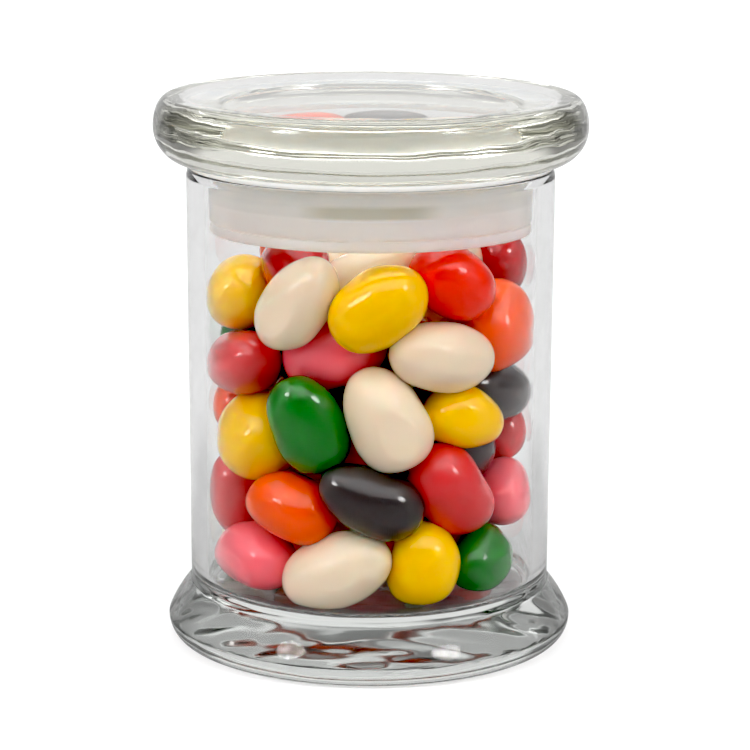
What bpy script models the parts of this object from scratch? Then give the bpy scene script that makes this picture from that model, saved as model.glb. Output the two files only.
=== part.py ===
"""A round glass sweet jar with a thick foot, its flat glass lid in a plastic seal, and the
jelly beans that fill it.

Four sub-parts stand on the Z axis, with the origin at the middle of the foot's underside:
jar, lid, lid_seal and jelly_beans.  Every round piece is a profile of (radius, height) points
turned once about Z.  Lengths are in metres.
"""
import math
import random

import bmesh
import bpy
from mathutils import Vector

# Turning
SEGMENTS = 52
FIT_GAP = 0.0003

# Jar: a straight body on a flared foot
BODY_FOOT_RADIUS = 0.03742
BODY_RIM_RADIUS = 0.0378
WALL = 0.0034
RIM_HEIGHT = 0.09895
RIM_LIP = 0.0017
RIM_LIP_SLOPE = 0.00026
RIM_ROUNDING = 0.0005
FOOT_RADIUS = 0.0422
FOOT_WIDEST_HEIGHT = 0.0044
FOOT_TOP_HEIGHT = 0.0118
FOOT_BASE_RADIUS = 0.0387
FOOT_BULGE = 1.2
FLOOR_HEIGHT = 0.0122
FLOOR_FILLET = 0.0028

# Lid: a thick disc with a round edge, and a short plug under it with a slightly hollow
# underside
LID_TOP = 0.1134
LID_RADIUS = 0.0445
LID_WIDEST_HEIGHT = 0.1073
LID_UNDERSIDE = 0.1001
LID_FLAT_RADIUS = 0.0412
PLUG_RADIUS = 0.0306
PLUG_BOTTOM = 0.0925
PLUG_ROUNDING = 0.0012
PLUG_HOLLOW = 0.0016

# Seal: a plastic ring round the plug that hangs below it, with a flange on the jar's rim
SEAL_TOP_RADIUS = 0.0332
SEAL_FIN_HEIGHT = 0.0974
SEAL_FIN = 0.0005
SEAL_STEP_HEIGHT = 0.0926
SEAL_STEP_RADIUS = 0.0331
SEAL_BOTTOM = 0.0864
SEAL_BOTTOM_RADIUS = 0.0330
SEAL_ROUNDING = 0.0010
SEAL_FLANGE_RADIUS = 0.0374

# Jelly beans: egg-shaped sweets in staggered rings against the glass
BEAN_HALF_LENGTH = 0.0118
BEAN_HALF_GIRTH = 0.0088
BEANS_IN_RING = 8
BEANS_WITHIN_RING = 3
RINGS = 6
RING_TWIST = 0.37
TURN_SCATTER = 0.12
LEAN_LIMIT = 1.3
END_RING_LEAN_LIMIT = 0.45
OUT_SCATTER = 0.0012
HEIGHT_SCATTER = 0.0015
HEAP_TOP = 0.0861
HEAP_CORE_RADIUS = 0.0240
HEAP_SEGMENTS = 44
HEAP_LEVELS = 32
HEAP_CAP_LEVELS = 9
HEAP_SEED = 12


def clear_scene():
    """Removes whatever the file holds."""
    for thing in list(bpy.data.objects):
        bpy.data.objects.remove(thing, do_unlink=True)


def material(name, colour, roughness, metallic=0.0, transmission=0.0):
    """A Principled material; colour is linear red, green and blue."""
    made = bpy.data.materials.new(name)
    made.use_nodes = True
    shader = made.node_tree.nodes["Principled BSDF"]
    shader.inputs["Base Color"].default_value = (*colour, 1.0)
    shader.inputs["Roughness"].default_value = roughness
    shader.inputs["Metallic"].default_value = metallic
    shader.inputs["Transmission Weight"].default_value = transmission
    return made


def quarter(start, end, steps, corner_power=1.0, flat_start=True):
    """Points of a rounded corner from start to end, both (radius, height), without the start.

    The curve leaves start level when flat_start is set, and upright otherwise.  A corner_power
    over 1 draws it nearer to a straight line.
    """
    points = []
    for step in range(1, steps + 1):
        angle = 0.5 * math.pi * step / steps
        rise, run = 1.0 - math.cos(angle) ** corner_power, math.sin(angle) ** corner_power
        across, up = (run, rise) if flat_start else (rise, run)
        points.append((start[0] + (end[0] - start[0]) * across,
                       start[1] + (end[1] - start[1]) * up))
    return points


def turned(name, profile, segments=SEGMENTS):
    """An object made by turning a profile once about Z."""
    bm = bmesh.new()
    verts = [bm.verts.new((radius, 0.0, height)) for radius, height in profile]
    edges = [bm.edges.new(pair) for pair in zip(verts, verts[1:])]
    if profile[0][0] > 0.0:
        edges.append(bm.edges.new((verts[-1], verts[0])))
    bmesh.ops.spin(bm, geom=verts + edges, cent=(0, 0, 0), axis=(0, 0, 1),
                   angle=2.0 * math.pi, steps=segments, use_merge=True)
    bmesh.ops.remove_doubles(bm, verts=bm.verts, dist=1e-6)
    bmesh.ops.recalc_face_normals(bm, faces=bm.faces)
    return finished(name, bm)


def finished(name, bm, sharp_from=math.radians(35.0)):
    """Turns a bmesh into a smooth-shaded object of the scene."""
    mesh = bpy.data.meshes.new(name)
    bm.to_mesh(mesh)
    bm.free()
    mesh.shade_smooth()
    mesh.set_sharp_from_angle(angle=sharp_from)
    thing = bpy.data.objects.new(name, mesh)
    bpy.context.scene.collection.objects.link(thing)
    return thing


def make_jar():
    """The body, its thick floor and its flared foot, in one piece of clear glass."""
    inner = BODY_FOOT_RADIUS - WALL
    lip_radius = BODY_RIM_RADIUS - RIM_LIP_SLOPE
    profile = [(0.0, 0.0), (FOOT_BASE_RADIUS, 0.0)]
    profile += quarter(profile[-1], (FOOT_RADIUS, FOOT_WIDEST_HEIGHT), 5)
    profile += quarter(profile[-1], (BODY_FOOT_RADIUS, FOOT_TOP_HEIGHT), 5,
                       corner_power=2.0 / FOOT_BULGE, flat_start=False)
    profile += [(BODY_RIM_RADIUS, RIM_HEIGHT - RIM_LIP), (lip_radius, RIM_HEIGHT - RIM_ROUNDING)]
    profile += quarter(profile[-1], (lip_radius - RIM_ROUNDING, RIM_HEIGHT), 3, flat_start=False)
    profile += [(inner + RIM_ROUNDING, RIM_HEIGHT)]
    profile += quarter(profile[-1], (inner, RIM_HEIGHT - RIM_ROUNDING), 3)
    profile += [(inner, FLOOR_HEIGHT + FLOOR_FILLET)]
    profile += quarter(profile[-1], (inner - FLOOR_FILLET, FLOOR_HEIGHT), 4, flat_start=False)
    profile += [(0.0, FLOOR_HEIGHT)]
    jar = turned("jar", profile)
    jar.data.materials.append(material("jar_glass", (0.95, 0.97, 0.96), 0.02, transmission=1.0))


def make_lid():
    """The flat lid: a thick disc with a round edge, and a short plug under it.

    The plug's underside is slightly hollow, as pressed glass is.
    """
    profile = [(0.0, LID_TOP), (LID_FLAT_RADIUS, LID_TOP)]
    profile += quarter(profile[-1], (LID_RADIUS, LID_WIDEST_HEIGHT), 7)
    profile += quarter(profile[-1], (BODY_RIM_RADIUS, LID_UNDERSIDE), 7, flat_start=False)
    profile += [(PLUG_RADIUS, LID_UNDERSIDE), (PLUG_RADIUS, PLUG_BOTTOM + PLUG_ROUNDING)]
    profile += quarter(profile[-1], (PLUG_RADIUS - PLUG_ROUNDING, PLUG_BOTTOM), 3, flat_start=False)
    edge = profile[-1][0]
    profile += [(edge * part, PLUG_BOTTOM + PLUG_HOLLOW * (1.0 - part ** 2))
                for part in (0.67, 0.33, 0.0)]
    lid = turned("lid", profile)
    lid.data.materials.append(material("lid_glass", (0.94, 0.97, 0.95), 0.02, transmission=1.0))


def make_seal():
    """The plastic ring between the lid's plug and the jar's wall."""
    inner = PLUG_RADIUS + FIT_GAP
    flange_top = LID_UNDERSIDE - FIT_GAP
    flange_bottom = RIM_HEIGHT + FIT_GAP
    fin_radius = BODY_FOOT_RADIUS - WALL - FIT_GAP
    fin_top = SEAL_FIN_HEIGHT + SEAL_FIN
    profile = [(inner, flange_top), (SEAL_FLANGE_RADIUS, flange_top),
               (SEAL_FLANGE_RADIUS, flange_bottom), (SEAL_TOP_RADIUS, flange_bottom),
               (SEAL_TOP_RADIUS, fin_top + SEAL_FIN), (fin_radius, fin_top),
               (fin_radius, SEAL_FIN_HEIGHT), (SEAL_TOP_RADIUS, SEAL_FIN_HEIGHT - SEAL_FIN),
               (SEAL_TOP_RADIUS, SEAL_STEP_HEIGHT), (SEAL_STEP_RADIUS, SEAL_STEP_HEIGHT - SEAL_FIN),
               (SEAL_BOTTOM_RADIUS, SEAL_BOTTOM + SEAL_ROUNDING)]
    profile += quarter(profile[-1], (SEAL_BOTTOM_RADIUS - SEAL_ROUNDING, SEAL_BOTTOM), 3,
                       flat_start=False)
    profile += [(inner, SEAL_BOTTOM)]
    seal = turned("lid_seal", profile)
    seal.data.materials.append(material("seal_plastic", (0.72, 0.66, 0.60), 0.35))


def bean_places():
    """Middle and long axis of each bean, ring by ring from the floor up.

    A bean in the outer ring touches the wall.  Its long axis lies in the wall's tangent plane,
    leaning at an angle that differs from bean to bean.
    """
    rnd = random.Random(HEAP_SEED)
    wall = BODY_FOOT_RADIUS - WALL - FIT_GAP
    floor = FLOOR_HEIGHT + FIT_GAP
    pitch = (HEAP_TOP - floor - 2.0 * BEAN_HALF_GIRTH) / (RINGS - 1)
    places = []
    for ring in range(RINGS):
        middle = floor + BEAN_HALF_GIRTH + ring * pitch
        for place in range(BEANS_IN_RING):
            step = place + 0.5 * (ring % 2) + rnd.uniform(-TURN_SCATTER, TURN_SCATTER)
            turn = 2.0 * math.pi * step / BEANS_IN_RING
            limit = END_RING_LEAN_LIMIT if ring in (0, RINGS - 1) else LEAN_LIMIT
            lean = rnd.uniform(-limit, limit)
            out = Vector((math.cos(turn), math.sin(turn), 0.0))
            along = Vector((-math.sin(turn), math.cos(turn), 0.0))
            axis = along * math.cos(lean) + Vector((0.0, 0.0, math.sin(lean)))
            middle_radius = wall - BEAN_HALF_GIRTH - rnd.uniform(0.0, OUT_SCATTER)
            height = middle + rnd.uniform(-HEIGHT_SCATTER, HEIGHT_SCATTER)
            half_height = bean_reach(axis, Vector((0.0, 0.0, 1.0)))
            height = min(max(height, floor + half_height), HEAP_TOP - half_height)
            places.append((out * middle_radius + Vector((0.0, 0.0, height)), axis))
        for place in range(BEANS_WITHIN_RING):
            turn = 2.0 * math.pi * (place + RING_TWIST * ring) / BEANS_WITHIN_RING
            out = Vector((math.cos(turn), math.sin(turn), 0.0))
            places.append((out * BEAN_HALF_GIRTH + Vector((0.0, 0.0, middle)),
                           Vector((-out.y, out.x, 0.0))))
    return places


def bean_reach(axis, direction):
    """How far a bean with this long axis reaches from its middle in a direction."""
    part = axis.dot(direction)
    return math.hypot(BEAN_HALF_LENGTH * part,
                      BEAN_HALF_GIRTH * math.sqrt(max(0.0, 1.0 - part * part)))


def bean_exit(start, direction, middle, axis):
    """How far along a ray from start it leaves a bean for good, or 0 where it misses the bean."""
    def squeezed(v):
        part = axis.dot(v)
        return (v - axis * part) / BEAN_HALF_GIRTH + axis * (part / BEAN_HALF_LENGTH)

    offset, heading = squeezed(start - middle), squeezed(direction)
    a, b, c = heading.dot(heading), offset.dot(heading), offset.dot(offset) - 1.0
    inside = b * b - a * c
    return max(0.0, (math.sqrt(inside) - b) / a) if inside > 0.0 else 0.0


def make_jelly_beans():
    """The heap of beans as one solid, out to the uneven outline that the beans make.

    A sphere's vertices are led along rays from a short upright spine, each to where its ray
    leaves the last bean, and at least as far as the heap's core.
    """
    beans = bean_places()
    floor = FLOOR_HEIGHT + FIT_GAP
    spine_low, spine_high = floor + HEAP_CORE_RADIUS, HEAP_TOP - HEAP_CORE_RADIUS
    cap = HEAP_CAP_LEVELS / HEAP_LEVELS
    bm = bmesh.new()
    bmesh.ops.create_uvsphere(bm, u_segments=HEAP_SEGMENTS, v_segments=HEAP_LEVELS, radius=1.0)
    for vert in bm.verts:
        level = 1.0 - math.acos(max(-1.0, min(1.0, vert.co.z))) / math.pi
        turn = math.atan2(vert.co.y, vert.co.x)
        climb = 0.0
        if level < cap:
            climb = 0.5 * math.pi * (level / cap - 1.0)
        elif level > 1.0 - cap:
            climb = 0.5 * math.pi * (1.0 - (1.0 - level) / cap)
        along = min(1.0, max(0.0, (level - cap) / (1.0 - 2.0 * cap)))
        start = Vector((0.0, 0.0, spine_low + (spine_high - spine_low) * along))
        heading = Vector((math.cos(climb) * math.cos(turn), math.cos(climb) * math.sin(turn),
                          math.sin(climb)))
        reach = max(bean_exit(start, heading, middle, axis) for middle, axis in beans)
        vert.co = start + heading * max(reach, HEAP_CORE_RADIUS - FIT_GAP)
    bmesh.ops.recalc_face_normals(bm, faces=bm.faces)
    heap = finished("jelly_beans", bm, sharp_from=math.radians(80.0))
    heap.data.materials.append(material("bean_shell", (0.72, 0.12, 0.06), 0.3))


def main():
    clear_scene()
    make_jar()
    make_lid()
    make_seal()
    make_jelly_beans()


main()
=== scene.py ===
"""A sweet jar of clear glass, filled with jelly beans and shut with a flat glass lid.

The jar, its lid and the lid's plastic seal are profiles turned about Z.  The jelly beans are one
piece for each colour: the beans that lie against the front of the glass have listed places, the
rest are scattered behind them, and all of them are then pushed apart.  Some still sink into each
other, by up to 2 mm.  Lengths are in metres.
"""
import math
import random

import bmesh
import bpy
import numpy as np
from bpy.props import FloatProperty, FloatVectorProperty, IntProperty, PointerProperty
from mathutils import Matrix, Vector, noise


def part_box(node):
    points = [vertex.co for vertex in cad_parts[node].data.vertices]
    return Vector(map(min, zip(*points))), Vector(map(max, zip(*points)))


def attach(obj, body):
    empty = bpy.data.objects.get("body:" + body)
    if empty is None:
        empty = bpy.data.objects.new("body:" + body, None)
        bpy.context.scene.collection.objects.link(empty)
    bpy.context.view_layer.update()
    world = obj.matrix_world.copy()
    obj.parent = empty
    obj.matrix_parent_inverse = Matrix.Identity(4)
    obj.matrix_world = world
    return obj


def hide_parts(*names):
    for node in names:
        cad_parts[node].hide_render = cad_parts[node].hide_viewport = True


bl_info = {
    "name": "Sweet Jar",
    "version": (1, 0, 0),
    "blender": (4, 5, 0),
    "location": "3D View > Sidebar > Sweet Jar",
    "description": "Makes a glass sweet jar with a sealed lid, full of jelly beans",
    "category": "Add Mesh",
}

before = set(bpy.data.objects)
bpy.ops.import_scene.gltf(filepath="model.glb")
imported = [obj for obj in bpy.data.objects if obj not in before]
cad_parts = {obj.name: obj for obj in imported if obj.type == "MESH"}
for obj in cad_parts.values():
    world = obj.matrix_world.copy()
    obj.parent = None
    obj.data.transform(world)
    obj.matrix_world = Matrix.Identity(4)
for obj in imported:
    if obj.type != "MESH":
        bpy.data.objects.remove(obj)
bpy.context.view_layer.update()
BODY = "root"
JAR_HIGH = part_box("jar")[1]
LID_LOW, LID_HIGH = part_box("lid")
SEAL_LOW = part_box("lid_seal")[0]
HEAP_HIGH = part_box("jelly_beans")[1]

MM = 0.001
TURN_STEPS = 224
SHARP_FROM = math.radians(40.0)
CLEARANCE = 0.1 * MM


# Settings -----------------------------------------------------------------------------------

def length(name, description, default):
    """A size in metres."""
    return FloatProperty(name=name, description=description, default=default, min=0.0,
                         subtype="DISTANCE", unit="LENGTH", precision=5)


def share(name, description, default, highest=1.0):
    """A number without a unit."""
    return FloatProperty(name=name, description=description, default=default, min=0.0,
                         max=highest, subtype="FACTOR")


def colour(name, description, default):
    """A linear red, green and blue."""
    return FloatVectorProperty(name=name, description=description, default=default, size=3,
                               min=0.0, max=1.0, subtype="COLOR")


class JarSettings(bpy.types.PropertyGroup):
    """Sizes and glass of the jar."""

    body_radius: length("Body radius", "Outer radius of the body at the foot", 37.42 * MM)
    rim_radius: length("Rim radius", "Outer radius of the body at the rim", 37.8 * MM)
    rim_height: length("Rim height", "Height of the rim", 98.95 * MM)
    lip: length("Lip", "Height of the lip below the rim", 1.7 * MM)
    rim_rounding: length("Rim rounding", "Radius of the rim's edges", 0.5 * MM)
    wall: length("Wall", "Thickness of the wall", 3.4 * MM)
    foot_radius: length("Foot radius", "Largest radius of the foot", JAR_HIGH.x)
    foot_widest: length("Foot widest", "Height at which the foot is widest", 4.4 * MM)
    foot_top: length("Foot top", "Height at which the foot meets the body", 11.8 * MM)
    foot_base: length("Foot base", "Radius of the foot where it stands", 38.7 * MM)
    floor: length("Floor", "Height of the floor inside", 12.2 * MM)
    floor_fillet: length("Floor fillet", "Radius between the floor and the wall inside", 2.8 * MM)
    clearness: colour("Clearness", "What a long way through the glass lets pass",
                      (0.82, 0.84, 0.82))
    clear_depth: length("Clear depth", "The way after which the clearness is reached", 80.0 * MM)
    mirror: share("Mirror", "How strongly the glass reflects face on", 0.06)
    waves: length("Waves", "Depth of the waves all over the glass", 0.04 * MM)
    ripples: length("Ripples", "Depth of the ripples in the foot", 0.28 * MM)
    ripple: length("Ripple", "Width of a ripple", 8.0 * MM)
    ripples_beyond: length("Ripples beyond", "Radius beyond which the glass ripples", 60.0 * MM)
    ripples_below: length("Ripples below", "Height below which the glass ripples", 12.6 * MM)
    frost: share("Frost", "How matt the underside is", 0.05)
    frosted_below: length("Frosted below", "Height below which the glass is matt", 0.2 * MM)


class LidSettings(bpy.types.PropertyGroup):
    """Sizes and glass of the lid."""

    top: length("Top", "Height of the lid's top", LID_HIGH.z)
    radius: length("Radius", "Largest radius of the lid", LID_HIGH.x)
    widest: length("Widest", "Height at which the lid is widest", 107.3 * MM)
    underside: length("Underside", "Height of the lid's underside", 100.1 * MM)
    flat_radius: length("Flat radius", "Radius of the flat top", 41.2 * MM)
    plug_radius: length("Plug radius", "Radius of the plug under the lid", 30.6 * MM)
    plug_bottom: length("Plug bottom", "Height of the plug's underside", LID_LOW.z)
    plug_rounding: length("Plug rounding", "Radius of the plug's lower edge", 1.2 * MM)
    hollow: length("Hollow", "How far the plug's underside is hollowed", 1.6 * MM)
    clearness: colour("Clearness", "What a long way through the glass lets pass",
                      (0.895, 0.895, 0.845))
    clear_depth: length("Clear depth", "The way after which the clearness is reached", 60.0 * MM)
    mirror: share("Mirror", "How strongly the glass reflects face on", 0.12)
    waves: length("Waves", "Depth of the waves all over the glass", 0.05 * MM)
    ripples: length("Ripples", "Depth of the ripples round the edge", 0.35 * MM)
    ripple: length("Ripple", "Width of a ripple", 9.0 * MM)
    ripples_beyond: length("Ripples beyond", "Radius beyond which the glass ripples", 38.0 * MM)
    ripples_below: length("Ripples below", "Height below which the glass ripples", 0.0)
    frost: share("Frost", "How matt the plug's underside is", 0.0)
    frosted_below: length("Frosted below", "Height below which the glass is matt", 92.6 * MM)


class SealSettings(bpy.types.PropertyGroup):
    """Sizes and plastic of the seal between the plug and the jar."""

    flange_radius: length("Flange radius", "Radius of the flange on the rim", 37.5 * MM)
    flange: length("Flange", "Thickness of the flange", 1.0 * MM)
    radius: length("Radius", "Outer radius of the ring", 33.2 * MM)
    bottom_radius: length("Bottom radius", "Outer radius of the ring's lower edge", 33.0 * MM)
    bottom: length("Bottom", "Height of the ring's lower edge", SEAL_LOW.z)
    groove: length("Groove", "Depth of the grooves round the ring", 0.5 * MM)
    gap: length("Gap", "Air between the ring and the plug", 0.3 * MM)
    lift: length("Lift", "Air between the flange and the lid", 0.05 * MM)
    plastic: colour("Plastic", "Colour of the plastic", (0.99, 0.93, 0.84))


class BeanSettings(bpy.types.PropertyGroup):
    """Sizes and colours of the jelly beans."""

    count: IntProperty(name="Count", description="How many beans fill the jar", default=63,
                       min=1, max=120)
    half_length: length("Half length", "Half the length of a scattered bean", 10.4 * MM)
    half_girth: length("Half girth", "Half the thickness of a scattered bean", 7.3 * MM)
    unevenness: share("Unevenness", "How much the beans differ in size", 0.08, 0.3)
    lumps: share("Lumps", "How lumpy a bean is, as a share of its thickness", 0.05, 0.3)
    seed: IntProperty(name="Seed", description="Another number scatters the beans another way",
                      default=3, min=0)
    white: colour("White", "Colour of the white beans", (0.88, 0.745, 0.575))
    yellow: colour("Yellow", "Colour of the yellow beans", (0.98, 0.57, 0.001))
    orange: colour("Orange", "Colour of the orange beans", (0.85, 0.095, 0.003))
    scarlet: colour("Scarlet", "Colour of the orange-red beans", (0.82, 0.022, 0.002))
    cherry: colour("Cherry", "Colour of the deep red beans", (0.45, 0.002, 0.004))
    rose: colour("Rose", "Colour of the rose-red beans", (0.60, 0.042, 0.046))
    pink: colour("Pink", "Colour of the pink beans", (0.92, 0.16, 0.20))
    green: colour("Green", "Colour of the green beans", (0.016, 0.175, 0.02))
    black: colour("Black", "Colour of the black beans", (0.055, 0.045, 0.046))


class StudioSettings(bpy.types.PropertyGroup):
    """The floor, the light round the jar and the camera."""

    floor_shade: share("Floor shade", "How pale the floor is", 0.27)
    floor_glow: share("Floor glow", "How much brighter the floor looks straight on", 0.55)
    surround: FloatProperty(name="Surround", description="Brightness all round", default=0.88,
                            min=0.0)
    dark: FloatProperty(name="Dark", description="Brightness of the unlit parts of the studio",
                        default=0.25, min=0.0)
    lamp: FloatProperty(name="Lamp", description="Brightness of the two soft lamps",
                        default=110.0, min=0.0)
    overhead: FloatProperty(name="Overhead", description="Brightness of the ceiling", default=3.0,
                            min=0.0)


class SweetJarSettings(bpy.types.PropertyGroup):
    """All the settings of the sweet jar."""

    jar: PointerProperty(type=JarSettings)
    lid: PointerProperty(type=LidSettings)
    seal: PointerProperty(type=SealSettings)
    beans: PointerProperty(type=BeanSettings)
    studio: PointerProperty(type=StudioSettings)


# Nodes --------------------------------------------------------------------------------------

class Wire:
    """The output of a node.  Arithmetic on it adds Math nodes."""

    def __init__(self, nodes, socket):
        self.nodes, self.socket = nodes, socket

    def maths(self, operation, first, second):
        return self.nodes.node("ShaderNodeMath", {"operation": operation}, {0: first, 1: second})

    def __add__(self, other):
        return self.maths("ADD", self, other)

    def __mul__(self, other):
        return self.maths("MULTIPLY", self, other)

    def __sub__(self, other):
        return self.maths("SUBTRACT", self, other)

    def __rsub__(self, other):
        return self.maths("SUBTRACT", other, self)

    __radd__ = __add__
    __rmul__ = __mul__


class Nodes:
    """The node tree of a material or of the world."""

    def __init__(self, owner):
        owner.use_nodes = True
        self.tree = owner.node_tree

    def feed(self, node, inputs):
        """Gives a node's inputs their values or links."""
        for key, value in inputs.items():
            socket = node.inputs[key]
            if isinstance(value, Wire):
                self.tree.links.new(value.socket, socket)
            elif socket.type == "RGBA":
                socket.default_value = (*value[:3], 1.0)
            else:
                socket.default_value = value

    def node(self, kind, settings=None, inputs=None, output=0):
        """Adds a node, with its settings made before its inputs, and gives one of its outputs."""
        made = self.tree.nodes.new(kind)
        for name, value in (settings or {}).items():
            setattr(made, name, value)
        self.feed(made, inputs or {})
        return Wire(self, made.outputs[output])

    def blend(self, factor, first, second):
        """A colour between two others."""
        return self.node("ShaderNodeMix", {"data_type": "RGBA"},
                         {"Factor": factor, 6: first, 7: second}, output=2)

    def noise(self, place, grain, detail):
        """Noise whose lumps are about grain metres across."""
        return self.node("ShaderNodeTexNoise", {},
                         {"Vector": place, "Scale": 1.0 / grain, "Detail": detail})

    def step(self, value, low, high):
        """A soft step from 0 at low to 1 at high."""
        return self.node("ShaderNodeMapRange", {"interpolation_type": "SMOOTHSTEP"},
                         {"Value": value, "From Min": low, "From Max": high})

    def bump(self, height, depth):
        """A surface normal from a height of up to depth metres."""
        return self.node("ShaderNodeBump", {}, {"Strength": 1.0, "Distance": depth,
                                                "Height": height})


def new_material(name):
    """A material, its nodes, its shader and the place on the object that its patterns read."""
    made = bpy.data.materials.new(name)
    nodes = Nodes(made)
    place = nodes.node("ShaderNodeTexCoord", output="Object")
    return made, nodes, nodes.tree.nodes["Principled BSDF"], place


WAVE = 22.0 * MM
RIPPLE_STRETCH = (0.5, 1.0, 1.0)
RADIUS_FADE = 3.0 * MM
HEIGHT_FADE = 2.0 * MM
FROST_FADE = 0.3 * MM


def glass(name, part):
    """Clear pressed glass, tinted where it is thick, faintly wavy, and rippled in places."""
    made, nodes, shader, place = new_material(name)
    flat = nodes.node("ShaderNodeVectorMath", {"operation": "MULTIPLY"},
                      {0: place, 1: (1.0, 1.0, 0.0)})
    radius = nodes.node("ShaderNodeVectorMath", {"operation": "LENGTH"}, {0: flat},
                        output="Value")
    height = nodes.node("ShaderNodeSeparateXYZ", {}, {0: place}, output="Z")
    inward = 1.0 - nodes.step(radius, part.ripples_beyond, part.ripples_beyond + RADIUS_FADE)
    upward = nodes.step(height, part.ripples_below, part.ripples_below + HEIGHT_FADE)
    drawn = nodes.node("ShaderNodeVectorMath", {"operation": "MULTIPLY"},
                       {0: place, 1: RIPPLE_STRETCH})
    relief = (nodes.noise(place, WAVE, 1.0)
              + (1.0 - inward * upward) * nodes.noise(drawn, part.ripple, 1.0)
              * (part.ripples / part.waves))
    frost = part.frost * (1.0 - nodes.step(height, part.frosted_below,
                                           part.frosted_below + FROST_FADE))
    nodes.feed(shader, {
        "Base Color": (1.0, 1.0, 1.0), "Roughness": frost, "IOR": 1.5, "Transmission Weight": 1.0,
        "Specular Tint": (part.mirror,) * 3, "Normal": nodes.bump(relief, part.waves)})
    losses = [-math.log(passed) / part.clear_depth for passed in part.clearness]
    density = 2.0 * max(losses)
    volume = nodes.node("ShaderNodeVolumeAbsorption", {}, {
        "Color": [1.0 - loss / density for loss in losses], "Density": density})
    nodes.feed(nodes.tree.nodes["Material Output"], {"Volume": volume})
    return made


# Bands of painted light on the plastic, in mm up from the plug's lower edge: where each starts, is
# full, starts to end and has ended.  The first is painted shade, the darker look of the glass plug
# seen through the plastic; the second a painted highlight along the plug's lower edge; the third,
# which has no end, faint painted shade on the ring's top under the flange.
PAINTED_SEE_THROUGH_ROWS = (0.3, 0.9, 2.4, 3.6)
PAINTED_EDGE_HIGHLIGHT_ROWS = (-0.1, 0.15, 0.2, 0.45)
PAINTED_TOP_SHADE_ROWS = (3.8, 5.4)
PALER = 1.04
DEEPER = (0.94, 0.92, 0.90)
# Painted shade: a faint brownish darkening of the ring's top, under the flange and the lid.
PAINTED_TOP_SHADE = (0.62, 0.47, 0.36)
# Painted shade: the darker greenish look of the glass plug seen through the plastic.
PAINTED_SEE_THROUGH_SHADE = (0.46, 0.47, 0.41)
# Painted highlight: a pale line along the plug's lower edge.
PAINTED_EDGE_HIGHLIGHT = (1.0, 0.98, 0.93)
# Shares of the ring's radius, front and back, over which the painted plug shade and highlight grow
# to full strength.
PAINTED_LIGHT_FRONT_FADE = (0.90, 0.98)


def band(nodes, height, edge, rows):
    """1 inside a level band with soft edges, and 0 outside it."""
    start, full, still_full, end = (edge + row * MM for row in rows)
    return nodes.step(height, start, full) * (1.0 - nodes.step(height, still_full, end))


def seal_plastic(seal, lid):
    """Soft milky plastic, with the faint marks of its mould, and painted light in its colour:
    painted shade where the glass plug would show through, a painted highlight along the plug's
    lower edge and faint painted shade on its top under the flange.
    """
    made, nodes, shader, place = new_material("seal_plastic")
    patches = nodes.noise(place, 14.0 * MM, 2.0)
    grain = nodes.noise(place, 0.9 * MM, 3.0)
    height = nodes.node("ShaderNodeSeparateXYZ", {}, {0: place}, output="Z")
    depth = nodes.node("ShaderNodeSeparateXYZ", {}, {0: place}, output="Y")
    # The front and the back of the ring, where the painted plug shade and highlight are strongest.
    facing = nodes.step(nodes.node("ShaderNodeMath", {"operation": "ABSOLUTE"}, {0: depth}),
                        *(part * seal.radius for part in PAINTED_LIGHT_FRONT_FADE))
    edge = lid.plug_bottom
    # Mask of the painted shade where the glass plug would show through.
    behind = band(nodes, height, edge, PAINTED_SEE_THROUGH_ROWS)
    # Mask of the painted highlight along the plug's lower edge.
    line = band(nodes, height, edge, PAINTED_EDGE_HIGHLIGHT_ROWS)
    # Mask of the painted shade on the ring's top, under the flange.
    painted_top_shade = nodes.step(height, *(edge + row * MM for row in PAINTED_TOP_SHADE_ROWS))
    pale = tuple(min(1.0, PALER * part) for part in seal.plastic)
    deep = tuple(part * shade for part, shade in zip(seal.plastic, DEEPER))
    shade = nodes.blend(patches, deep, pale)
    # Paints faint brownish shade on the top of the ring, under the flange.
    shade = nodes.blend(0.1 * painted_top_shade, shade, PAINTED_TOP_SHADE)
    # Paints the plug's darker see-through look as shade, strongest at the front and the back.
    shade = nodes.blend(behind * (0.15 + 0.75 * facing), shade, PAINTED_SEE_THROUGH_SHADE)
    # Paints a pale highlight along the plug's lower edge, strongest at the front and the back.
    shade = nodes.blend(line * (0.2 + 0.6 * facing), shade, PAINTED_EDGE_HIGHLIGHT)
    nodes.feed(shader, {
        "Base Color": shade, "Roughness": 0.50 + 0.10 * patches,
        "IOR": 1.46, "Subsurface Weight": 1.0, "Subsurface Radius": (1.0, 0.85, 0.7),
        "Subsurface Scale": 14.0 * MM, "Normal": nodes.bump(grain, 0.03 * MM)})
    return made


def bean_shell(kind, shade):
    """The hard sugar shell of a bean: glossy, a little uneven, and lit a little from within."""
    made, nodes, shader, place = new_material(f"bean_{kind}")
    clouds = nodes.noise(place, 7.0 * MM, 3.0)
    specks = nodes.noise(place, 0.8 * MM, 2.0)
    pits = nodes.noise(place, 2.2 * MM, 2.0)
    tone = nodes.node("ShaderNodeAttribute", {"attribute_name": "tone"}, output="Fac")
    deep = tuple(part * 0.84 for part in shade)
    pale = tuple(min(1.0, part * 1.08 + 0.004) for part in shade)
    nodes.feed(shader, {
        "Base Color": nodes.blend(0.35 * clouds + 0.15 * specks + 0.5 * tone, deep, pale),
        "Roughness": 0.17 + 0.10 * clouds, "IOR": 1.48, "Specular IOR Level": 0.25,
        "Subsurface Weight": 0.6,
        "Subsurface Radius": (1.0, 0.6, 0.45), "Subsurface Scale": 2.5 * MM,
        "Coat Weight": 0.75, "Coat Roughness": 0.03, "Normal": nodes.bump(pits, 0.022 * MM)})
    return made


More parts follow.
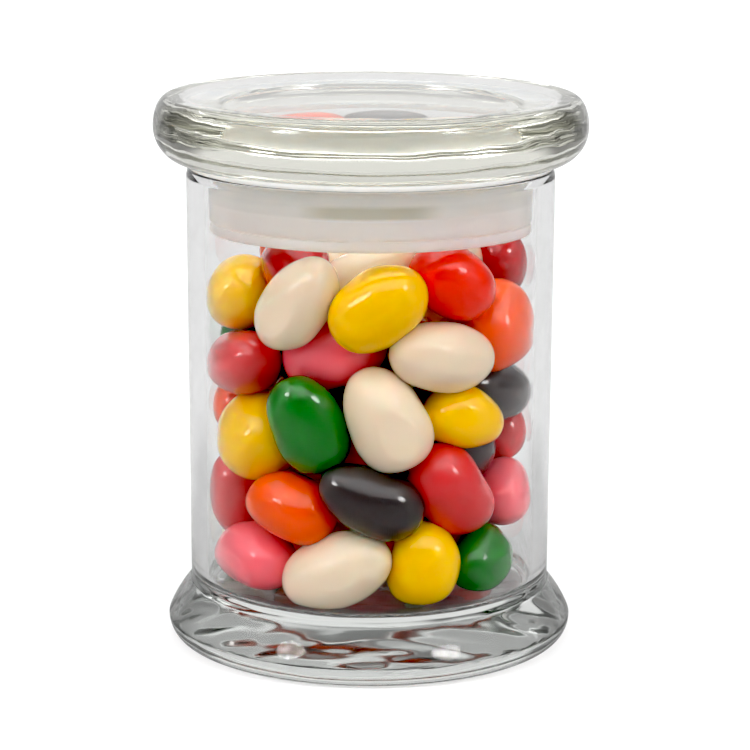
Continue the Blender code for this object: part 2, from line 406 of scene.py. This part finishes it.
def floor_paper(studio):
    """Matt pale paper."""
    made, nodes, shader, place = new_material("floor_paper")
    fibres = nodes.noise(place, 0.6 * MM, 3.0)
    shade = studio.floor_shade
    seen = nodes.node("ShaderNodeLightPath", output="Is Camera Ray") * studio.floor_glow
    nodes.feed(shader, {
        "Emission Color": nodes.blend(seen, (0.0, 0.0, 0.0), (1.0, 1.0, 1.0)),
        "Emission Strength": 1.0,
        "Base Color": nodes.blend(fibres, (shade * 0.99,) * 3, (shade * 1.01,) * 3),
        "Roughness": 0.9, "Specular IOR Level": 0.1, "Normal": nodes.bump(fibres, 0.01 * MM)})
    return made


# Shapes -------------------------------------------------------------------------------------

def curve(start, end, steps, straightness=1.0, level_first=True):
    """Points of a round corner from start to end, both (radius, height), without the start.

    It leaves start level, or upright where level_first isn't set.  A straightness over 1 draws
    it nearer to a straight line.
    """
    points = []
    for step in range(1, steps + 1):
        angle = 0.5 * math.pi * step / steps
        fall, run = 1.0 - math.cos(angle) ** straightness, math.sin(angle) ** straightness
        across, up = (run, fall) if level_first else (fall, run)
        points.append((start[0] + (end[0] - start[0]) * across,
                       start[1] + (end[1] - start[1]) * up))
    return points


def turned(profile):
    """A profile of (radius, height) points turned once about Z, as a bmesh."""
    bm = bmesh.new()
    verts = [bm.verts.new((radius, 0.0, height)) for radius, height in profile]
    edges = [bm.edges.new(pair) for pair in zip(verts, verts[1:])]
    if profile[0][0] > 0.0:
        edges.append(bm.edges.new((verts[-1], verts[0])))
    bmesh.ops.spin(bm, geom=verts + edges, cent=(0.0, 0.0, 0.0), axis=(0.0, 0.0, 1.0),
                   angle=2.0 * math.pi, steps=TURN_STEPS, use_merge=True)
    bmesh.ops.remove_doubles(bm, verts=bm.verts, dist=1e-6)
    bmesh.ops.recalc_face_normals(bm, faces=bm.faces)
    return bm


def placed(name, bm, finish):
    """A smooth object from a bmesh, with its finish."""
    mesh = bpy.data.meshes.new(name)
    bm.to_mesh(mesh)
    bm.free()
    mesh.shade_smooth()
    mesh.set_sharp_from_angle(angle=SHARP_FROM)
    mesh.materials.append(finish)
    piece = bpy.data.objects.new(name, mesh)
    bpy.context.scene.collection.objects.link(piece)
    return piece


def belong(piece, node):
    """Ties a piece to the model: its body and the solid that it stands for, which it hides."""
    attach(piece, BODY)
    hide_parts(node)


# Rows of points along a straight stretch, as shares of its length.  They lie close at its ends, so
# that the rounding there stays small.
UNDERSIDE_ROWS = (0.0, 0.5, 0.98, 1.0)
BODY_ROWS = (0.02, 0.1, 0.3, 0.5, 0.7, 0.9, 0.98, 0.998, 1.0)
INSIDE_ROWS = (0.002, 0.02, 0.1, 0.3, 0.5, 0.7, 0.9, 0.98, 1.0)
FLOOR_ROWS = (0.6, 0.3, 0.0)
PLUG_ROWS = (0.9, 0.75, 0.6, 0.45, 0.3, 0.15, 0.0)
FOOT_STRAIGHTNESS = 1.67
LIP_INSET = 0.06 * MM
LIP_EDGE = 0.12 * MM
LIP_SLOPE = 0.20 * MM
PLUG_FILLET = 0.6 * MM


def jar_profile(jar):
    """The jar from the middle of its underside, up outside and down inside to its floor."""
    inner = jar.body_radius - jar.wall
    shoulder = jar.rim_height - jar.lip
    rounding = jar.rim_rounding
    points = [(jar.foot_base * part, 0.0) for part in UNDERSIDE_ROWS]
    points += curve(points[-1], (jar.foot_radius, jar.foot_widest), 14)
    points += curve(points[-1], (jar.body_radius, jar.foot_top), 16, FOOT_STRAIGHTNESS,
                    level_first=False)
    rise = shoulder - jar.foot_top
    points += [(jar.body_radius + (jar.rim_radius - jar.body_radius) * part,
                jar.foot_top + rise * part) for part in BODY_ROWS]
    lip_radius = jar.rim_radius - LIP_INSET
    points += [(lip_radius, shoulder + LIP_EDGE),
               (lip_radius - LIP_SLOPE, jar.rim_height - rounding)]
    points += curve(points[-1], (lip_radius - LIP_SLOPE - rounding, jar.rim_height), 6,
                    level_first=False)
    points += [(inner + rounding, jar.rim_height)]
    points += curve(points[-1], (inner, jar.rim_height - rounding), 6)
    low = jar.floor + jar.floor_fillet
    top = jar.rim_height - rounding
    points += [(inner, top + (low - top) * part) for part in INSIDE_ROWS]
    points += curve(points[-1], (inner - jar.floor_fillet, jar.floor), 10, level_first=False)
    points += [(inner * part, jar.floor) for part in FLOOR_ROWS]
    return points


def lid_profile(lid, jar):
    """The lid from the middle of its top, over its round edge to the middle of its plug."""
    points = [(0.0, lid.top), (lid.flat_radius * 0.5, lid.top), (lid.flat_radius, lid.top)]
    points += curve(points[-1], (lid.radius, lid.widest), 20)
    points += curve(points[-1], (jar.rim_radius, lid.underside), 20, level_first=False)
    points += [(lid.plug_radius + PLUG_FILLET, lid.underside)]
    points += curve(points[-1], (lid.plug_radius, lid.underside - PLUG_FILLET), 4)
    points += [(lid.plug_radius, lid.plug_bottom + lid.plug_rounding)]
    points += curve(points[-1], (lid.plug_radius - lid.plug_rounding, lid.plug_bottom), 8,
                    level_first=False)
    edge = points[-1][0]
    points += [(edge * part, lid.plug_bottom + lid.hollow * (1.0 - part ** 2))
               for part in PLUG_ROWS]
    return points


# The groove is measured down from the flange's top, and the step and notch up from the lower edge.
GROOVE_TOP = 1.4 * MM
GROOVE_BOTTOM = 2.6 * MM
GROOVE_SLOPE = 0.3 * MM
RIDGE = 0.2 * MM
RIDGE_HEIGHT = 0.9 * MM
RIDGE_SLOPE = 0.25 * MM
STEP_HEIGHT = 6.4 * MM
STEP_DEPTH = 0.12 * MM
STEP_SLOPE = 0.15 * MM
NOTCH_TOP = 2.8 * MM
NOTCH_BOTTOM = 2.2 * MM
NOTCH_DEPTH = 0.9 * MM
OUTER_ROUNDING = 0.8 * MM
INNER_ROUNDING = 0.5 * MM
TAB_HALF_TURN = math.radians(6.5)
TAB_TURN = math.radians(-2.5)


def seal_profile(seal, lid):
    """The seal's section: a flange, a groove under it, a ridge, the ring and its lower ledge."""
    inner = lid.plug_radius + seal.gap
    top = lid.underside - seal.lift
    low = seal.bottom
    deep = seal.radius - seal.groove
    points = [(inner, top), (seal.flange_radius, top), (seal.flange_radius, top - seal.flange),
              (seal.radius, top - seal.flange)]
    groove_top, groove_bottom = top - GROOVE_TOP, top - GROOVE_BOTTOM
    points += [(seal.radius, groove_top), (deep, groove_top - GROOVE_SLOPE),
               (deep, groove_bottom + GROOVE_SLOPE), (seal.radius + RIDGE, groove_bottom)]
    ridge = groove_bottom - RIDGE_HEIGHT
    points += [(seal.radius + RIDGE, ridge), (seal.radius, ridge - RIDGE_SLOPE)]
    step = low + STEP_HEIGHT
    notch_radius = seal.radius - STEP_DEPTH
    points += [(seal.radius, step), (notch_radius, step - STEP_SLOPE)]
    points += [(notch_radius, low + NOTCH_TOP), (notch_radius - NOTCH_DEPTH, low + NOTCH_TOP),
               (notch_radius - NOTCH_DEPTH, low + NOTCH_BOTTOM),
               (seal.bottom_radius, low + NOTCH_BOTTOM)]
    points += [(seal.bottom_radius, low + OUTER_ROUNDING)]
    points += curve(points[-1], (seal.bottom_radius - OUTER_ROUNDING, low), 5, level_first=False)
    points += [(inner + INNER_ROUNDING, low)]
    points += curve(points[-1], (inner, low + INNER_ROUNDING), 4)
    return points


def fill_tab(bm, seal):
    """Brings the notch flush with the ring over a short stretch at the front."""
    low = seal.bottom
    for vert in bm.verts:
        turn = math.atan2(vert.co.x, -vert.co.y)
        height = vert.co.z - low
        in_notch = NOTCH_BOTTOM - CLEARANCE < height < NOTCH_TOP + CLEARANCE
        radius = math.hypot(vert.co.x, vert.co.y)
        if in_notch and abs(turn - TAB_TURN) < TAB_HALF_TURN and radius > seal.bottom_radius - MM:
            factor = seal.bottom_radius / radius
            vert.co.x, vert.co.y = vert.co.x * factor, vert.co.y * factor


# Jelly beans --------------------------------------------------------------------------------

# The beans with listed places: those that show at the front, and after them a few on the floor, at
# the back and in the middle that show between or under the others.  For each: colour; turn round
# the jar in degrees, from the front to the right; height, and distance from the axis (0: against
# the glass), in mm; the lean of its long axis from level and its swing out of the glass's
# tangent, in degrees; half its length and half its thickness in mm; how much thinner its leading
# end is.
PLACED_BEANS = (
    ("yellow", -83, 73.8, 0, 35, 0, 9.6, 7.8, 0.05),
    ("cherry", -58, 79.8, 20, 0, 0, 10.8, 7.0, 0.05),
    ("white", -31, 74.6, 26, 58, -18, 10.5, 7.0, 0.04),
    ("white", -3, 79.0, 16, 5, 0, 11.0, 6.8, 0.05),
    ("yellow", 13, 72.0, 0, 16, 4, 10.3, 7.7, 0.0),
    ("scarlet", 27, 78.8, 22, -8, 0, 9.0, 7.0, 0.05),
    ("white", 60, 79.2, 19, 0, 0, 10.0, 6.8, 0.05),
    ("cherry", 103, 77.0, 0, -40, 0, 9.8, 6.9, 0.05),
    ("orange", 68, 66.2, 0, 76, 0, 9.8, 8.2, 0.08),
    ("green", -106, 65.0, 0, 10, 0, 10.0, 7.0, 0.05),
    ("rose", -68, 59.8, 0, 6, 0, 10.2, 6.9, 0.05),
    ("pink", -18, 61.4, 18, 20, 0, 10.8, 7.6, 0.05),
    ("white", 22, 65.4, 0, 160, 0, 10.8, 7.1, 0.08),
    ("black", 73, 53.2, 25, -6, 30, 11.0, 6.6, 0.05),
    ("orange", -98, 48.0, 0, 0, 0, 10.0, 7.0, 0.05),
    ("yellow", -64, 44.2, 0, -25, 0, 9.6, 8.4, 0.05),
    ("green", -25, 50.2, 26, 114, 6, 10.4, 7.2, 0.06),
    ("white", 11, 52.8, 0, 104, 0, 11.0, 8.2, 0.14),
    ("yellow", 40, 51.0, 26, -8, 22, 8.0, 6.6, 0.06),
    ("rose", 100, 43.5, 0, 10, 0, 9.8, 6.8, 0.05),
    ("black", 64, 41.6, 23, 0, 0, 9.4, 6.5, 0.05),
    ("rose", 35, 36.2, 0, -62, 0, 10.2, 7.5, 0.06),
    ("pink", 80, 32.4, 0, 15, 0, 9.0, 6.2, 0.05),
    ("rose", -77, 32.3, 0, 70, 0, 9.2, 7.0, 0.05),
    ("orange", -24, 32.8, 0, 166, 0, 9.3, 6.9, 0.05),
    ("black", -4, 34.8, 0, 166, 0, 10.9, 6.9, 0.14),
    ("pink", -52, 20.4, 0, -10, 0, 10.0, 6.8, 0.05),
    ("white", -13, 20.5, 0, 10, -6, 11.6, 7.7, 0.03),
    ("yellow", 20, 25.2, 0, 82, 0, 8.7, 7.1, 0.05),
    ("green", 49, 21.2, 0, 12, -30, 8.6, 6.2, 0.05),
    ("orange", -5, 42.0, 16, 20, 0, 10.2, 7.0, 0.05),
    ("cherry", 76, 25.0, 18, 40, 0, 10.0, 6.8, 0.05),
    ("pink", -10, 20.0, 8, 5, 0, 10.4, 7.2, 0.05),
    ("white", 150, 20.0, 9, 0, 0, 10.2, 7.0, 0.05),
    ("orange", 175, 21.0, 24, 5, 0, 10.2, 7.0, 0.05),
    ("orange", -97, 19.6, 14, 60, 0, 10.2, 7.0, 0.05),
    ("white", -131, 77.5, 11, 5, 0, 10.4, 7.2, 0.05),
    ("orange", -148, 78.6, 0, 0, 0, 10.0, 6.9, 0.05),
    ("black", 174, 78.8, 0, 0, 0, 10.2, 6.9, 0.05),
    ("black", -20, 54.0, 15, 60, 0, 10.2, 7.0, 0.05),
)
SCATTERED_KINDS = ("white", "yellow", "orange", "scarlet", "cherry", "rose", "pink", "green",
                   "black", "white", "yellow", "orange")
TRIES = 60
UPRIGHTNESS = 0.6
MOST_TAPER = 0.12

# Settling: the balls that stand for a bean, the steps, how far a loose bean sinks and any bean
# moves in a step, the shares of a push that move and turn it, and how firmly the placed beans are
# drawn home, at first and while all come to rest.
BALLS = 5
SETTLE_STEPS = 500
REST_STEPS = 120
SINKING = 0.05 * MM
LONGEST_MOVE = 0.8 * MM
MOVING = 0.25
TURNING = 0.5
HOLD = 0.12
LOOSE_HOLD = 0.036

# The make of a bean, from one bean to another: the power of its blunt ends, its bend and its
# flatness, and how much its lumps differ.
BLUNTNESS = (2.05, 2.45)
BEND = (-0.10, 0.16)
FLATNESS = (0.94, 1.0)
LUMPINESS = (0.6, 1.6)
LUMP_GRAIN = 1.3
LUMP_LENGTHENING = 0.4
LUMP_DRIFT = 50.0
BEND_LEVEL = 0.35
BEAN_DETAIL = 5


class Bean:
    """Where a bean lies and how large it is."""

    def __init__(self, kind, middle, axis, half_length, half_girth, taper, held):
        self.kind, self.middle, self.axis = kind, middle, axis
        self.half_length, self.half_girth = half_length, half_girth
        self.taper, self.held = taper, held


def placed_beans(wall):
    """The beans whose places are listed."""
    beans = []
    for kind, turn, height, out, lean, swing, half_length, half_girth, taper in PLACED_BEANS:
        turn, lean, swing = map(math.radians, (turn, lean, swing))
        outward = np.array((math.sin(turn), -math.cos(turn), 0.0))
        along = np.array((math.cos(turn), math.sin(turn), 0.0))
        axis = (along * math.cos(lean) + np.array((0.0, 0.0, math.sin(lean)))) * math.cos(swing)
        axis = axis + outward * math.sin(swing)
        distance = out * MM if out else wall - half_girth * MM
        middle = outward * distance + np.array((0.0, 0.0, height * MM))
        beans.append(Bean(kind, middle, axis / np.linalg.norm(axis), half_length * MM,
                          half_girth * MM, taper, True))
    return beans


def scatter_beans(beans, settings, wall, low, high):
    """Adds beans to the emptiest places until the jar holds its count."""
    rnd = random.Random(settings.seed)
    bag = []
    while len(beans) < settings.count:
        middles = np.array([bean.middle for bean in beans])
        best, best_room = None, -1.0
        for _ in range(TRIES):
            radius = (wall - settings.half_girth) * math.sqrt(rnd.random())
            turn = rnd.uniform(0.0, 2.0 * math.pi)
            height = rnd.uniform(low + settings.half_girth, high - settings.half_girth)
            spot = np.array((radius * math.cos(turn), radius * math.sin(turn), height))
            room = np.linalg.norm(middles - spot, axis=1).min()
            if room > best_room:
                best, best_room = spot, room
        axis = np.array([rnd.gauss(0.0, 1.0), rnd.gauss(0.0, 1.0),
                         rnd.gauss(0.0, UPRIGHTNESS)])
        if not bag:
            bag = list(SCATTERED_KINDS)
            rnd.shuffle(bag)
        spread = settings.unevenness
        beans.append(Bean(bag.pop(), best, axis / np.linalg.norm(axis),
                          settings.half_length * rnd.uniform(1.0 - spread, 1.0 + spread),
                          settings.half_girth * rnd.uniform(1.0 - spread, 1.0 + 0.5 * spread),
                          rnd.uniform(0.0, MOST_TAPER), False))
    return beans


def settle(beans, wall, low, high):
    """Pushes the beans apart, and off the glass.

    Each bean is a row of balls that fill its ellipsoid.  Balls that overlap push their beans
    aside and turn them.  Loose beans sink slowly; the others are drawn back to their places.
    Some overlap is left, as a placed bean is drawn home while it is pushed, and as a finished
    bean is fuller than its balls.
    """
    count = len(beans)
    middles = np.array([bean.middle for bean in beans])
    axes = np.array([bean.axis for bean in beans])
    longs = np.array([bean.half_length for bean in beans])
    girths = np.array([bean.half_girth for bean in beans])
    held = np.array([bean.held for bean in beans], float)[:, None]
    homes, home_axes = middles.copy(), axes.copy()
    spread = longs ** 2 - girths ** 2
    offsets = np.linspace(-1.0, 1.0, BALLS) * (spread / longs)[:, None]
    radii = girths[:, None] * np.sqrt(1.0 - offsets ** 2 / spread[:, None])
    inertia = (offsets ** 2).sum(1)[:, None]
    reach = radii.reshape(-1)
    owner = np.repeat(np.arange(count), BALLS)
    same = owner[:, None] == owner[None, :]
    for step in range(SETTLE_STEPS):
        balls = (middles[:, None, :] + axes[:, None, :] * offsets[:, :, None]).reshape(-1, 3)
        apart = balls[:, None, :] - balls[None, :, :]
        distance = np.sqrt((apart ** 2).sum(2)) + 1e-9
        overlap = np.maximum(reach[:, None] + reach[None, :] - distance, 0.0)
        overlap[same] = 0.0
        push = (apart * (0.5 * overlap / distance)[:, :, None]).sum(1)
        radius = np.hypot(balls[:, 0], balls[:, 1]) + 1e-9
        outside = np.maximum(radius + reach - wall, 0.0)
        push[:, 0] -= balls[:, 0] / radius * outside
        push[:, 1] -= balls[:, 1] / radius * outside
        push[:, 2] += np.maximum(low + reach - balls[:, 2], 0.0)
        push[:, 2] -= np.maximum(balls[:, 2] + reach - high, 0.0)
        push = push.reshape(count, BALLS, 3)
        move = MOVING * push.sum(1)
        sinking = SINKING * max(0.0, 1.0 - step / (SETTLE_STEPS - REST_STEPS))
        move[:, 2] -= sinking * (1.0 - held[:, 0])
        move *= np.minimum(1.0, LONGEST_MOVE / (np.linalg.norm(move, axis=1) + 1e-12))[:, None]
        hold = held * (HOLD if step < SETTLE_STEPS - REST_STEPS else LOOSE_HOLD)
        middles = middles + move + (homes - middles) * hold
        axes = axes + TURNING * (push * offsets[:, :, None]).sum(1) / inertia
        axes = axes + (home_axes - axes) * hold
        axes = axes / np.linalg.norm(axes, axis=1)[:, None]
    for bean, middle, axis in zip(beans, middles, axes):
        bean.middle, bean.axis = middle, axis


def add_bean(bm, bean, tone_layer, settings, rnd, wall, low, high):
    """Adds one bean: a ball drawn out, blunted, tapered, bent a little and made uneven."""
    made = bmesh.ops.create_icosphere(bm, subdivisions=BEAN_DETAIL, radius=1.0)["verts"]
    blunt = rnd.uniform(*BLUNTNESS)
    bend = rnd.uniform(*BEND)
    flat = rnd.uniform(*FLATNESS)
    lumps = settings.lumps * rnd.uniform(*LUMPINESS)
    drift = Vector([rnd.uniform(-LUMP_DRIFT, LUMP_DRIFT) for _ in range(3)])
    tone = rnd.random()
    for vert in made:
        x = vert.co.x
        ring = math.sqrt(max(1e-12, 1.0 - x * x))
        fuller = (1.0 - min(1.0, abs(x)) ** blunt) ** (1.0 / blunt)
        across = fuller / ring * (1.0 - bean.taper * x)
        swell = 1.0 + lumps * noise.noise(vert.co * LUMP_GRAIN + drift)
        vert.co = Vector((x * bean.half_length * (1.0 + LUMP_LENGTHENING * (swell - 1.0)),
                          vert.co.y * across * swell * bean.half_girth,
                          (vert.co.z * across * swell * flat + bend * (x * x - BEND_LEVEL))
                          * bean.half_girth))
        vert[tone_layer] = tone
    roll = Matrix.Rotation(rnd.uniform(0.0, 2.0 * math.pi), 4, "X")
    lie = Vector(bean.axis).to_track_quat("X", "Z").to_matrix().to_4x4()
    move = Matrix.Translation(Vector(bean.middle))
    bmesh.ops.transform(bm, matrix=move @ lie @ roll, verts=made)
    press(made, wall, low, high)


def press(verts, wall, low, high):
    """Flattens a bean where it lies against the glass, on the floor or under the seal."""
    for vert in verts:
        radius = math.hypot(vert.co.x, vert.co.y)
        if radius > wall:
            vert.co.x, vert.co.y = vert.co.x * wall / radius, vert.co.y * wall / radius
        vert.co.z = min(max(vert.co.z, low), high)


# Operators ----------------------------------------------------------------------------------

class MakeJar(bpy.types.Operator):
    """Turns the glass jar: its body, thick floor and flared foot"""

    bl_idname = "sweet_jar.make_jar"
    bl_label = "Make Jar"

    def execute(self, context):
        jar = context.scene.sweet_jar.jar
        piece = placed("glass_jar", turned(jar_profile(jar)), glass("jar_glass", jar))
        belong(piece, "jar")
        return {"FINISHED"}


class MakeLid(bpy.types.Operator):
    """Turns the glass lid: a thick disc with a round edge, and the plug under it"""

    bl_idname = "sweet_jar.make_lid"
    bl_label = "Make Lid"

    def execute(self, context):
        settings = context.scene.sweet_jar
        bm = turned(lid_profile(settings.lid, settings.jar))
        piece = placed("glass_lid", bm, glass("lid_glass", settings.lid))
        belong(piece, "lid")
        return {"FINISHED"}


BEVEL = 0.08 * MM
BEVEL_FROM = math.radians(50.0)


class MakeSeal(bpy.types.Operator):
    """Turns the plastic seal, with its flange, grooves and ledge"""

    bl_idname = "sweet_jar.make_seal"
    bl_label = "Make Seal"

    def execute(self, context):
        settings = context.scene.sweet_jar
        bm = turned(seal_profile(settings.seal, settings.lid))
        fill_tab(bm, settings.seal)
        bmesh.ops.bevel(bm, geom=[edge for edge in bm.edges if edge.is_manifold
                                  and edge.calc_face_angle() > BEVEL_FROM],
                        offset=BEVEL, offset_type="OFFSET", segments=2, profile=0.5,
                        affect="EDGES", material=-1)
        belong(placed("seal_ring", bm, seal_plastic(settings.seal, settings.lid)),
               "lid_seal")
        return {"FINISHED"}


class MakeBeans(bpy.types.Operator):
    """Fills the jar with jelly beans, one piece for each colour"""

    bl_idname = "sweet_jar.make_beans"
    bl_label = "Make Jelly Beans"

    def execute(self, context):
        settings = context.scene.sweet_jar
        beans_of = settings.beans
        wall = settings.jar.body_radius - settings.jar.wall - CLEARANCE
        low, high = settings.jar.floor + CLEARANCE, HEAP_HIGH.z
        beans = scatter_beans(placed_beans(wall), beans_of, wall, low, high)
        settle(beans, wall, low, high)
        rnd = random.Random(beans_of.seed)
        for kind in sorted(set(SCATTERED_KINDS)):
            bm = bmesh.new()
            tone_layer = bm.verts.layers.float.new("tone")
            for bean in beans:
                if bean.kind == kind:
                    add_bean(bm, bean, tone_layer, beans_of, rnd, wall, low, high)
            piece = placed(f"beans_{kind}", bm, bean_shell(kind, tuple(getattr(beans_of, kind))))
            belong(piece, "jelly_beans")
        return {"FINISHED"}


FLOOR_RADIUS = 4.0
FLOOR_GAP = 0.3 * MM
CAMERA_PLACE = (0.0002, -0.5819, 0.1839)
CAMERA_TILT = math.radians(90.0 - 12.51)
CAMERA_PAN = math.radians(-0.083)
CAMERA_ROLL = math.radians(0.245)
CAMERA_LENS = 137.41
CAMERA_SENSOR = 36.0
CAMERA_NEAREST = 0.01
BOUNCES = 24
GLOSSY_BOUNCES = 8
# The brightness that is shown as black, which deepens the colours.
BLACK_LEVEL = 0.043
# Directions in degrees: round from the back to the right, and up; then the half width of the
# full patch and the width of its soft edge.
UNLIT_PARTS = ((-6, 50, 14, 14), (180, 8, 34, 24), (72, 5, 26, 12), (-72, 5, 26, 12))
LAMPS = ((130, 34, 4.5, 3), (-130, 34, 4.5, 3))
CEILING = (180, 76, 28, 20)


def toward(round_from_back, up):
    """A unit vector toward a direction given in degrees."""
    a, b = math.radians(round_from_back), math.radians(up)
    return (math.sin(a) * math.cos(b), math.cos(a) * math.cos(b), math.sin(b))


def light_studio(scene, studio):
    """A pale surround with two soft lamps in front and the unlit parts between them."""
    world = bpy.data.worlds.new("studio")
    scene.world = world
    nodes = Nodes(world)
    direction = nodes.node("ShaderNodeTexCoord", output="Generated")
    light = studio.surround
    patches = [(patch, studio.dark) for patch in UNLIT_PARTS] + [(CEILING, studio.overhead)]
    patches += [(patch, studio.lamp) for patch in LAMPS]
    for (round_from_back, up, half_width, edge), brightness in patches:
        facing = nodes.node("ShaderNodeVectorMath", {"operation": "DOT_PRODUCT"},
                            {0: direction, 1: toward(round_from_back, up)}, output="Value")
        inside = nodes.step(facing, math.cos(math.radians(half_width + edge)),
                            math.cos(math.radians(half_width)))
        light = (1.0 - inside) * light + inside * brightness
    nodes.feed(nodes.tree.nodes["Background"], {"Color": light, "Strength": 1.0})


class MakeStage(bpy.types.Operator):
    """Lays the pale floor, lights the studio and sets up the camera"""

    bl_idname = "sweet_jar.make_stage"
    bl_label = "Make Stage"

    def execute(self, context):
        scene = context.scene
        studio = scene.sweet_jar.studio
        bm = bmesh.new()
        bmesh.ops.create_circle(bm, cap_ends=True, segments=96, radius=FLOOR_RADIUS,
                                matrix=Matrix.Translation((0.0, 0.0, -FLOOR_GAP)))
        placed("floor", bm, floor_paper(studio))
        light_studio(scene, studio)
        lens = bpy.data.cameras.new("camera")
        lens.lens, lens.sensor_width, lens.clip_start = (
            CAMERA_LENS, CAMERA_SENSOR, CAMERA_NEAREST)
        camera = bpy.data.objects.new("camera", lens)
        scene.collection.objects.link(camera)
        camera.matrix_world = (Matrix.Translation(CAMERA_PLACE)
                               @ Matrix.Rotation(CAMERA_PAN, 4, "Z")
                               @ Matrix.Rotation(CAMERA_TILT, 4, "X")
                               @ Matrix.Rotation(CAMERA_ROLL, 4, "Z"))
        scene.camera = camera
        scene.view_settings.view_transform = "Standard"
        scene.view_settings.use_curve_mapping = True
        scene.view_settings.curve_mapping.black_level = (BLACK_LEVEL,) * 3
        scene.cycles.use_denoising = True
        scene.cycles.max_bounces = BOUNCES
        scene.cycles.transmission_bounces = BOUNCES
        scene.cycles.glossy_bounces = GLOSSY_BOUNCES
        return {"FINISHED"}


class SweetJarPanel(bpy.types.Panel):
    """The operators, in the order in which they build the jar"""

    bl_idname = "VIEW3D_PT_sweet_jar"
    bl_label = "Sweet Jar"
    bl_space_type = "VIEW_3D"
    bl_region_type = "UI"
    bl_category = "Sweet Jar"

    def draw(self, context):
        for maker in MAKERS:
            self.layout.operator(maker.bl_idname)


MAKERS = (MakeStage, MakeJar, MakeLid, MakeSeal, MakeBeans)
CLASSES = (JarSettings, LidSettings, SealSettings, BeanSettings, StudioSettings,
           SweetJarSettings) + MAKERS + (SweetJarPanel,)


def register():
    for cls in CLASSES:
        bpy.utils.register_class(cls)
    bpy.types.Scene.sweet_jar = PointerProperty(type=SweetJarSettings)


def unregister():
    del bpy.types.Scene.sweet_jar
    for cls in reversed(CLASSES):
        bpy.utils.unregister_class(cls)


def main():
    """Builds everything."""
    register()
    for maker in MAKERS:
        group, name = maker.bl_idname.split(".")
        getattr(getattr(bpy.ops, group), name)()


if __name__ == "__main__":
    main()
